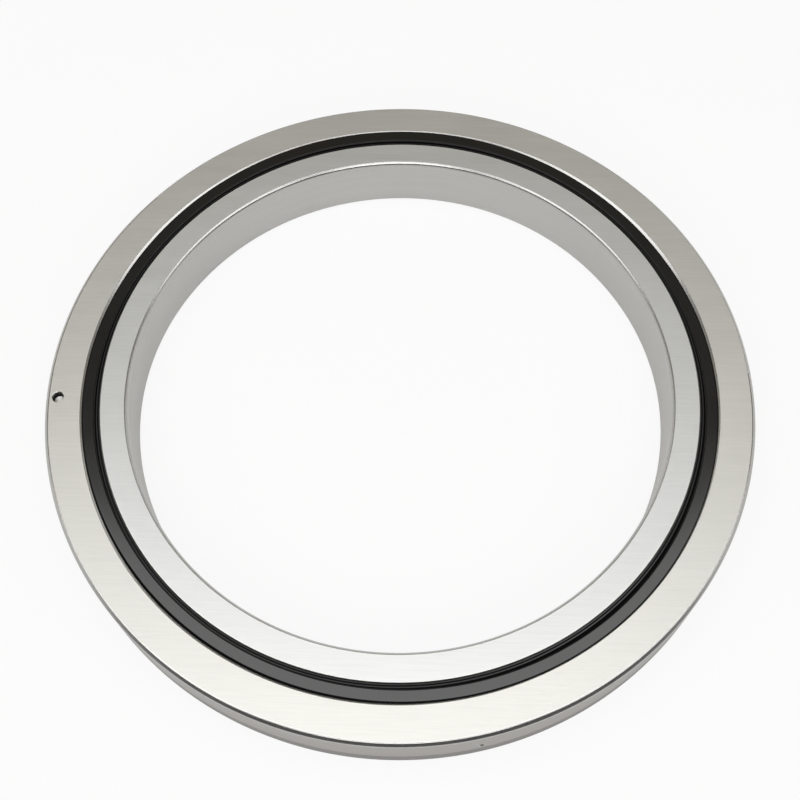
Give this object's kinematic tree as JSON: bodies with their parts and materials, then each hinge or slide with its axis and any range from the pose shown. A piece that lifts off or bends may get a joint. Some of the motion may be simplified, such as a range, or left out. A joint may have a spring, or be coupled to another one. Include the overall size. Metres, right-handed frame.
{
  "type": "crossed roller bearing",
  "caption": "Thin sealed crossed roller bearing: two ground steel rings with V raceways, crossed rollers with spacers between them and a black rubber lip seal on each side.",
  "frame": {"origin": "on the axis of rotation, in the plane of the lower side faces", "axes": "+Z along the axis of rotation, out of the side face that has the pin hole; the first roller lies on +X, the filling plug near -X and the first oil hole near -Y"},
  "size_m": [0.26, 0.26, 0.025],
  "materials": {
    "outer_ring_steel": "fine ground",
    "inner_ring_steel": "fine ground",
    "seal_rubber": "moulded, satin",
    "plug_steel": "ground flush",
    "pin_steel": "ground",
    "roller_steel": "superfinished",
    "spacer_plastic": "moulded nylon"
  },
  "bodies": {
    "outer": {"outer_ring": "outer_ring_steel", "filling_plug": "plug_steel", "plug_pin": "pin_steel", "upper_seal": "seal_rubber", "lower_seal": "seal_rubber"},
    "inner": {"inner_ring": "inner_ring_steel"},
    "spacer_train": {"spacers": "spacer_plastic"},
    "roller_01": {"roller_01": "roller_steel"},
    "roller_02": {"roller_02": "roller_steel"},
    "roller_03": {"roller_03": "roller_steel"},
    "roller_04": {"roller_04": "roller_steel"},
    "roller_05": {"roller_05": "roller_steel"},
    "roller_06": {"roller_06": "roller_steel"},
    "roller_07": {"roller_07": "roller_steel"},
    "roller_08": {"roller_08": "roller_steel"},
    "roller_09": {"roller_09": "roller_steel"},
    "roller_10": {"roller_10": "roller_steel"},
    "roller_11": {"roller_11": "roller_steel"},
    "roller_12": {"roller_12": "roller_steel"},
    "roller_13": {"roller_13": "roller_steel"},
    "roller_14": {"roller_14": "roller_steel"},
    "roller_15": {"roller_15": "roller_steel"},
    "roller_16": {"roller_16": "roller_steel"},
    "roller_17": {"roller_17": "roller_steel"},
    "roller_18": {"roller_18": "roller_steel"},
    "roller_19": {"roller_19": "roller_steel"},
    "roller_20": {"roller_20": "roller_steel"},
    "roller_21": {"roller_21": "roller_steel"},
    "roller_22": {"roller_22": "roller_steel"},
    "roller_23": {"roller_23": "roller_steel"},
    "roller_24": {"roller_24": "roller_steel"},
    "roller_25": {"roller_25": "roller_steel"},
    "roller_26": {"roller_26": "roller_steel"},
    "roller_27": {"roller_27": "roller_steel"},
    "roller_28": {"roller_28": "roller_steel"},
    "roller_29": {"roller_29": "roller_steel"},
    "roller_30": {"roller_30": "roller_steel"},
    "roller_31": {"roller_31": "roller_steel"},
    "roller_32": {"roller_32": "roller_steel"},
    "roller_33": {"roller_33": "roller_steel"},
    "roller_34": {"roller_34": "roller_steel"},
    "roller_35": {"roller_35": "roller_steel"},
    "roller_36": {"roller_36": "roller_steel"},
    "roller_37": {"roller_37": "roller_steel"},
    "roller_38": {"roller_38": "roller_steel"},
    "roller_39": {"roller_39": "roller_steel"},
    "roller_40": {"roller_40": "roller_steel"},
    "roller_41": {"roller_41": "roller_steel"},
    "roller_42": {"roller_42": "roller_steel"},
    "roller_43": {"roller_43": "roller_steel"},
    "roller_44": {"roller_44": "roller_steel"},
    "roller_45": {"roller_45": "roller_steel"},
    "roller_46": {"roller_46": "roller_steel"},
    "roller_47": {"roller_47": "roller_steel"},
    "roller_48": {"roller_48": "roller_steel"}
  },
  "joints": [
    {"name": "inner_spin", "type": "hinge", "parent": "outer", "child": "inner", "pos_m": [0, 0, 0.0125], "axis": [0, 0, 1], "continuous": true},
    {"name": "train_orbit", "type": "hinge", "parent": "outer", "child": "spacer_train", "pos_m": [0, 0, 0.0125], "axis": [0, 0, 1], "continuous": true},
    {"name": "roller_01_spin", "type": "hinge", "parent": "spacer_train", "child": "roller_01", "pos_m": [0.114, 0, 0.0125], "axis": [0.7071, 0, 0.7071], "continuous": true},
    {"name": "roller_02_spin", "type": "hinge", "parent": "spacer_train", "child": "roller_02", "pos_m": [0.11302, 0.01488, 0.0125], "axis": [0.7011, 0.0923, -0.7071], "continuous": true},
    {"name": "roller_03_spin", "type": "hinge", "parent": "spacer_train", "child": "roller_03", "pos_m": [0.11012, 0.02951, 0.0125], "axis": [0.683, 0.183, 0.7071], "continuous": true},
    {"name": "roller_04_spin", "type": "hinge", "parent": "spacer_train", "child": "roller_04", "pos_m": [0.10532, 0.04363, 0.0125], "axis": [0.6533, 0.2706, -0.7071], "continuous": true},
    {"name": "roller_05_spin", "type": "hinge", "parent": "spacer_train", "child": "roller_05", "pos_m": [0.09873, 0.057, 0.0125], "axis": [0.6124, 0.3536, 0.7071], "continuous": true},
    {"name": "roller_06_spin", "type": "hinge", "parent": "spacer_train", "child": "roller_06", "pos_m": [0.09044, 0.0694, 0.0125], "axis": [0.561, 0.4305, -0.7071], "continuous": true},
    {"name": "roller_07_spin", "type": "hinge", "parent": "spacer_train", "child": "roller_07", "pos_m": [0.08061, 0.08061, 0.0125], "axis": [0.5, 0.5, 0.7071], "continuous": true},
    {"name": "roller_08_spin", "type": "hinge", "parent": "spacer_train", "child": "roller_08", "pos_m": [0.0694, 0.09044, 0.0125], "axis": [0.4305, 0.561, -0.7071], "continuous": true},
    {"name": "roller_09_spin", "type": "hinge", "parent": "spacer_train", "child": "roller_09", "pos_m": [0.057, 0.09873, 0.0125], "axis": [0.3536, 0.6124, 0.7071], "continuous": true},
    {"name": "roller_10_spin", "type": "hinge", "parent": "spacer_train", "child": "roller_10", "pos_m": [0.04363, 0.10532, 0.0125], "axis": [0.2706, 0.6533, -0.7071], "continuous": true},
    {"name": "roller_11_spin", "type": "hinge", "parent": "spacer_train", "child": "roller_11", "pos_m": [0.02951, 0.11012, 0.0125], "axis": [0.183, 0.683, 0.7071], "continuous": true},
    {"name": "roller_12_spin", "type": "hinge", "parent": "spacer_train", "child": "roller_12", "pos_m": [0.01488, 0.11302, 0.0125], "axis": [0.0923, 0.7011, -0.7071], "continuous": true},
    {"name": "roller_13_spin", "type": "hinge", "parent": "spacer_train", "child": "roller_13", "pos_m": [0, 0.114, 0.0125], "axis": [0, 0.7071, 0.7071], "continuous": true},
    {"name": "roller_14_spin", "type": "hinge", "parent": "spacer_train", "child": "roller_14", "pos_m": [-0.01488, 0.11302, 0.0125], "axis": [-0.0923, 0.7011, -0.7071], "continuous": true},
    {"name": "roller_15_spin", "type": "hinge", "parent": "spacer_train", "child": "roller_15", "pos_m": [-0.02951, 0.11012, 0.0125], "axis": [-0.183, 0.683, 0.7071], "continuous": true},
    {"name": "roller_16_spin", "type": "hinge", "parent": "spacer_train", "child": "roller_16", "pos_m": [-0.04363, 0.10532, 0.0125], "axis": [-0.2706, 0.6533, -0.7071], "continuous": true},
    {"name": "roller_17_spin", "type": "hinge", "parent": "spacer_train", "child": "roller_17", "pos_m": [-0.057, 0.09873, 0.0125], "axis": [-0.3536, 0.6124, 0.7071], "continuous": true},
    {"name": "roller_18_spin", "type": "hinge", "parent": "spacer_train", "child": "roller_18", "pos_m": [-0.0694, 0.09044, 0.0125], "axis": [-0.4305, 0.561, -0.7071], "continuous": true},
    {"name": "roller_19_spin", "type": "hinge", "parent": "spacer_train", "child": "roller_19", "pos_m": [-0.08061, 0.08061, 0.0125], "axis": [-0.5, 0.5, 0.7071], "continuous": true},
    {"name": "roller_20_spin", "type": "hinge", "parent": "spacer_train", "child": "roller_20", "pos_m": [-0.09044, 0.0694, 0.0125], "axis": [-0.561, 0.4305, -0.7071], "continuous": true},
    {"name": "roller_21_spin", "type": "hinge", "parent": "spacer_train", "child": "roller_21", "pos_m": [-0.09873, 0.057, 0.0125], "axis": [-0.6124, 0.3536, 0.7071], "continuous": true},
    {"name": "roller_22_spin", "type": "hinge", "parent": "spacer_train", "child": "roller_22", "pos_m": [-0.10532, 0.04363, 0.0125], "axis": [-0.6533, 0.2706, -0.7071], "continuous": true},
    {"name": "roller_23_spin", "type": "hinge", "parent": "spacer_train", "child": "roller_23", "pos_m": [-0.11012, 0.02951, 0.0125], "axis": [-0.683, 0.183, 0.7071], "continuous": true},
    {"name": "roller_24_spin", "type": "hinge", "parent": "spacer_train", "child": "roller_24", "pos_m": [-0.11302, 0.01488, 0.0125], "axis": [-0.7011, 0.0923, -0.7071], "continuous": true},
    {"name": "roller_25_spin", "type": "hinge", "parent": "spacer_train", "child": "roller_25", "pos_m": [-0.114, 0, 0.0125], "axis": [-0.7071, 0, 0.7071], "continuous": true},
    {"name": "roller_26_spin", "type": "hinge", "parent": "spacer_train", "child": "roller_26", "pos_m": [-0.11302, -0.01488, 0.0125], "axis": [-0.7011, -0.0923, -0.7071], "continuous": true},
    {"name": "roller_27_spin", "type": "hinge", "parent": "spacer_train", "child": "roller_27", "pos_m": [-0.11012, -0.02951, 0.0125], "axis": [-0.683, -0.183, 0.7071], "continuous": true},
    {"name": "roller_28_spin", "type": "hinge", "parent": "spacer_train", "child": "roller_28", "pos_m": [-0.10532, -0.04363, 0.0125], "axis": [-0.6533, -0.2706, -0.7071], "continuous": true},
    {"name": "roller_29_spin", "type": "hinge", "parent": "spacer_train", "child": "roller_29", "pos_m": [-0.09873, -0.057, 0.0125], "axis": [-0.6124, -0.3536, 0.7071], "continuous": true},
    {"name": "roller_30_spin", "type": "hinge", "parent": "spacer_train", "child": "roller_30", "pos_m": [-0.09044, -0.0694, 0.0125], "axis": [-0.561, -0.4305, -0.7071], "continuous": true},
    {"name": "roller_31_spin", "type": "hinge", "parent": "spacer_train", "child": "roller_31", "pos_m": [-0.08061, -0.08061, 0.0125], "axis": [-0.5, -0.5, 0.7071], "continuous": true},
    {"name": "roller_32_spin", "type": "hinge", "parent": "spacer_train", "child": "roller_32", "pos_m": [-0.0694, -0.09044, 0.0125], "axis": [-0.4305, -0.561, -0.7071], "continuous": true},
    {"name": "roller_33_spin", "type": "hinge", "parent": "spacer_train", "child": "roller_33", "pos_m": [-0.057, -0.09873, 0.0125], "axis": [-0.3536, -0.6124, 0.7071], "continuous": true},
    {"name": "roller_34_spin", "type": "hinge", "parent": "spacer_train", "child": "roller_34", "pos_m": [-0.04363, -0.10532, 0.0125], "axis": [-0.2706, -0.6533, -0.7071], "continuous": true},
    {"name": "roller_35_spin", "type": "hinge", "parent": "spacer_train", "child": "roller_35", "pos_m": [-0.02951, -0.11012, 0.0125], "axis": [-0.183, -0.683, 0.7071], "continuous": true},
    {"name": "roller_36_spin", "type": "hinge", "parent": "spacer_train", "child": "roller_36", "pos_m": [-0.01488, -0.11302, 0.0125], "axis": [-0.0923, -0.7011, -0.7071], "continuous": true},
    {"name": "roller_37_spin", "type": "hinge", "parent": "spacer_train", "child": "roller_37", "pos_m": [0, -0.114, 0.0125], "axis": [0, -0.7071, 0.7071], "continuous": true},
    {"name": "roller_38_spin", "type": "hinge", "parent": "spacer_train", "child": "roller_38", "pos_m": [0.01488, -0.11302, 0.0125], "axis": [0.0923, -0.7011, -0.7071], "continuous": true},
    {"name": "roller_39_spin", "type": "hinge", "parent": "spacer_train", "child": "roller_39", "pos_m": [0.02951, -0.11012, 0.0125], "axis": [0.183, -0.683, 0.7071], "continuous": true},
    {"name": "roller_40_spin", "type": "hinge", "parent": "spacer_train", "child": "roller_40", "pos_m": [0.04363, -0.10532, 0.0125], "axis": [0.2706, -0.6533, -0.7071], "continuous": true},
    {"name": "roller_41_spin", "type": "hinge", "parent": "spacer_train", "child": "roller_41", "pos_m": [0.057, -0.09873, 0.0125], "axis": [0.3536, -0.6124, 0.7071], "continuous": true},
    {"name": "roller_42_spin", "type": "hinge", "parent": "spacer_train", "child": "roller_42", "pos_m": [0.0694, -0.09044, 0.0125], "axis": [0.4305, -0.561, -0.7071], "continuous": true},
    {"name": "roller_43_spin", "type": "hinge", "parent": "spacer_train", "child": "roller_43", "pos_m": [0.08061, -0.08061, 0.0125], "axis": [0.5, -0.5, 0.7071], "continuous": true},
    {"name": "roller_44_spin", "type": "hinge", "parent": "spacer_train", "child": "roller_44", "pos_m": [0.09044, -0.0694, 0.0125], "axis": [0.561, -0.4305, -0.7071], "continuous": true},
    {"name": "roller_45_spin", "type": "hinge", "parent": "spacer_train", "child": "roller_45", "pos_m": [0.09873, -0.057, 0.0125], "axis": [0.6124, -0.3536, 0.7071], "continuous": true},
    {"name": "roller_46_spin", "type": "hinge", "parent": "spacer_train", "child": "roller_46", "pos_m": [0.10532, -0.04363, 0.0125], "axis": [0.6533, -0.2706, -0.7071], "continuous": true},
    {"name": "roller_47_spin", "type": "hinge", "parent": "spacer_train", "child": "roller_47", "pos_m": [0.11012, -0.02951, 0.0125], "axis": [0.683, -0.183, 0.7071], "continuous": true},
    {"name": "roller_48_spin", "type": "hinge", "parent": "spacer_train", "child": "roller_48", "pos_m": [0.11302, -0.01488, 0.0125], "axis": [0.7011, -0.0923, -0.7071], "continuous": true}
  ],
  "couplings": [
    {"joint": "train_orbit", "follows": "inner_spin", "ratio": 0.48139},
    {"joint": "roller_01_spin", "follows": "inner_spin", "ratio": -9.4868},
    {"joint": "roller_02_spin", "follows": "inner_spin", "ratio": 9.4868},
    {"joint": "roller_03_spin", "follows": "inner_spin", "ratio": -9.4868},
    {"joint": "roller_04_spin", "follows": "inner_spin", "ratio": 9.4868},
    {"joint": "roller_05_spin", "follows": "inner_spin", "ratio": -9.4868},
    {"joint": "roller_06_spin", "follows": "inner_spin", "ratio": 9.4868},
    {"joint": "roller_07_spin", "follows": "inner_spin", "ratio": -9.4868},
    {"joint": "roller_08_spin", "follows": "inner_spin", "ratio": 9.4868},
    {"joint": "roller_09_spin", "follows": "inner_spin", "ratio": -9.4868},
    {"joint": "roller_10_spin", "follows": "inner_spin", "ratio": 9.4868},
    {"joint": "roller_11_spin", "follows": "inner_spin", "ratio": -9.4868},
    {"joint": "roller_12_spin", "follows": "inner_spin", "ratio": 9.4868},
    {"joint": "roller_13_spin", "follows": "inner_spin", "ratio": -9.4868},
    {"joint": "roller_14_spin", "follows": "inner_spin", "ratio": 9.4868},
    {"joint": "roller_15_spin", "follows": "inner_spin", "ratio": -9.4868},
    {"joint": "roller_16_spin", "follows": "inner_spin", "ratio": 9.4868},
    {"joint": "roller_17_spin", "follows": "inner_spin", "ratio": -9.4868},
    {"joint": "roller_18_spin", "follows": "inner_spin", "ratio": 9.4868},
    {"joint": "roller_19_spin", "follows": "inner_spin", "ratio": -9.4868},
    {"joint": "roller_20_spin", "follows": "inner_spin", "ratio": 9.4868},
    {"joint": "roller_21_spin", "follows": "inner_spin", "ratio": -9.4868},
    {"joint": "roller_22_spin", "follows": "inner_spin", "ratio": 9.4868},
    {"joint": "roller_23_spin", "follows": "inner_spin", "ratio": -9.4868},
    {"joint": "roller_24_spin", "follows": "inner_spin", "ratio": 9.4868},
    {"joint": "roller_25_spin", "follows": "inner_spin", "ratio": -9.4868},
    {"joint": "roller_26_spin", "follows": "inner_spin", "ratio": 9.4868},
    {"joint": "roller_27_spin", "follows": "inner_spin", "ratio": -9.4868},
    {"joint": "roller_28_spin", "follows": "inner_spin", "ratio": 9.4868},
    {"joint": "roller_29_spin", "follows": "inner_spin", "ratio": -9.4868},
    {"joint": "roller_30_spin", "follows": "inner_spin", "ratio": 9.4868},
    {"joint": "roller_31_spin", "follows": "inner_spin", "ratio": -9.4868},
    {"joint": "roller_32_spin", "follows": "inner_spin", "ratio": 9.4868},
    {"joint": "roller_33_spin", "follows": "inner_spin", "ratio": -9.4868},
    {"joint": "roller_34_spin", "follows": "inner_spin", "ratio": 9.4868},
    {"joint": "roller_35_spin", "follows": "inner_spin", "ratio": -9.4868},
    {"joint": "roller_36_spin", "follows": "inner_spin", "ratio": 9.4868},
    {"joint": "roller_37_spin", "follows": "inner_spin", "ratio": -9.4868},
    {"joint": "roller_38_spin", "follows": "inner_spin", "ratio": 9.4868},
    {"joint": "roller_39_spin", "follows": "inner_spin", "ratio": -9.4868},
    {"joint": "roller_40_spin", "follows": "inner_spin", "ratio": 9.4868},
    {"joint": "roller_41_spin", "follows": "inner_spin", "ratio": -9.4868},
    {"joint": "roller_42_spin", "follows": "inner_spin", "ratio": 9.4868},
    {"joint": "roller_43_spin", "follows": "inner_spin", "ratio": -9.4868},
    {"joint": "roller_44_spin", "follows": "inner_spin", "ratio": 9.4868},
    {"joint": "roller_45_spin", "follows": "inner_spin", "ratio": -9.4868},
    {"joint": "roller_46_spin", "follows": "inner_spin", "ratio": 9.4868},
    {"joint": "roller_47_spin", "follows": "inner_spin", "ratio": -9.4868},
    {"joint": "roller_48_spin", "follows": "inner_spin", "ratio": 9.4868}
  ]
}
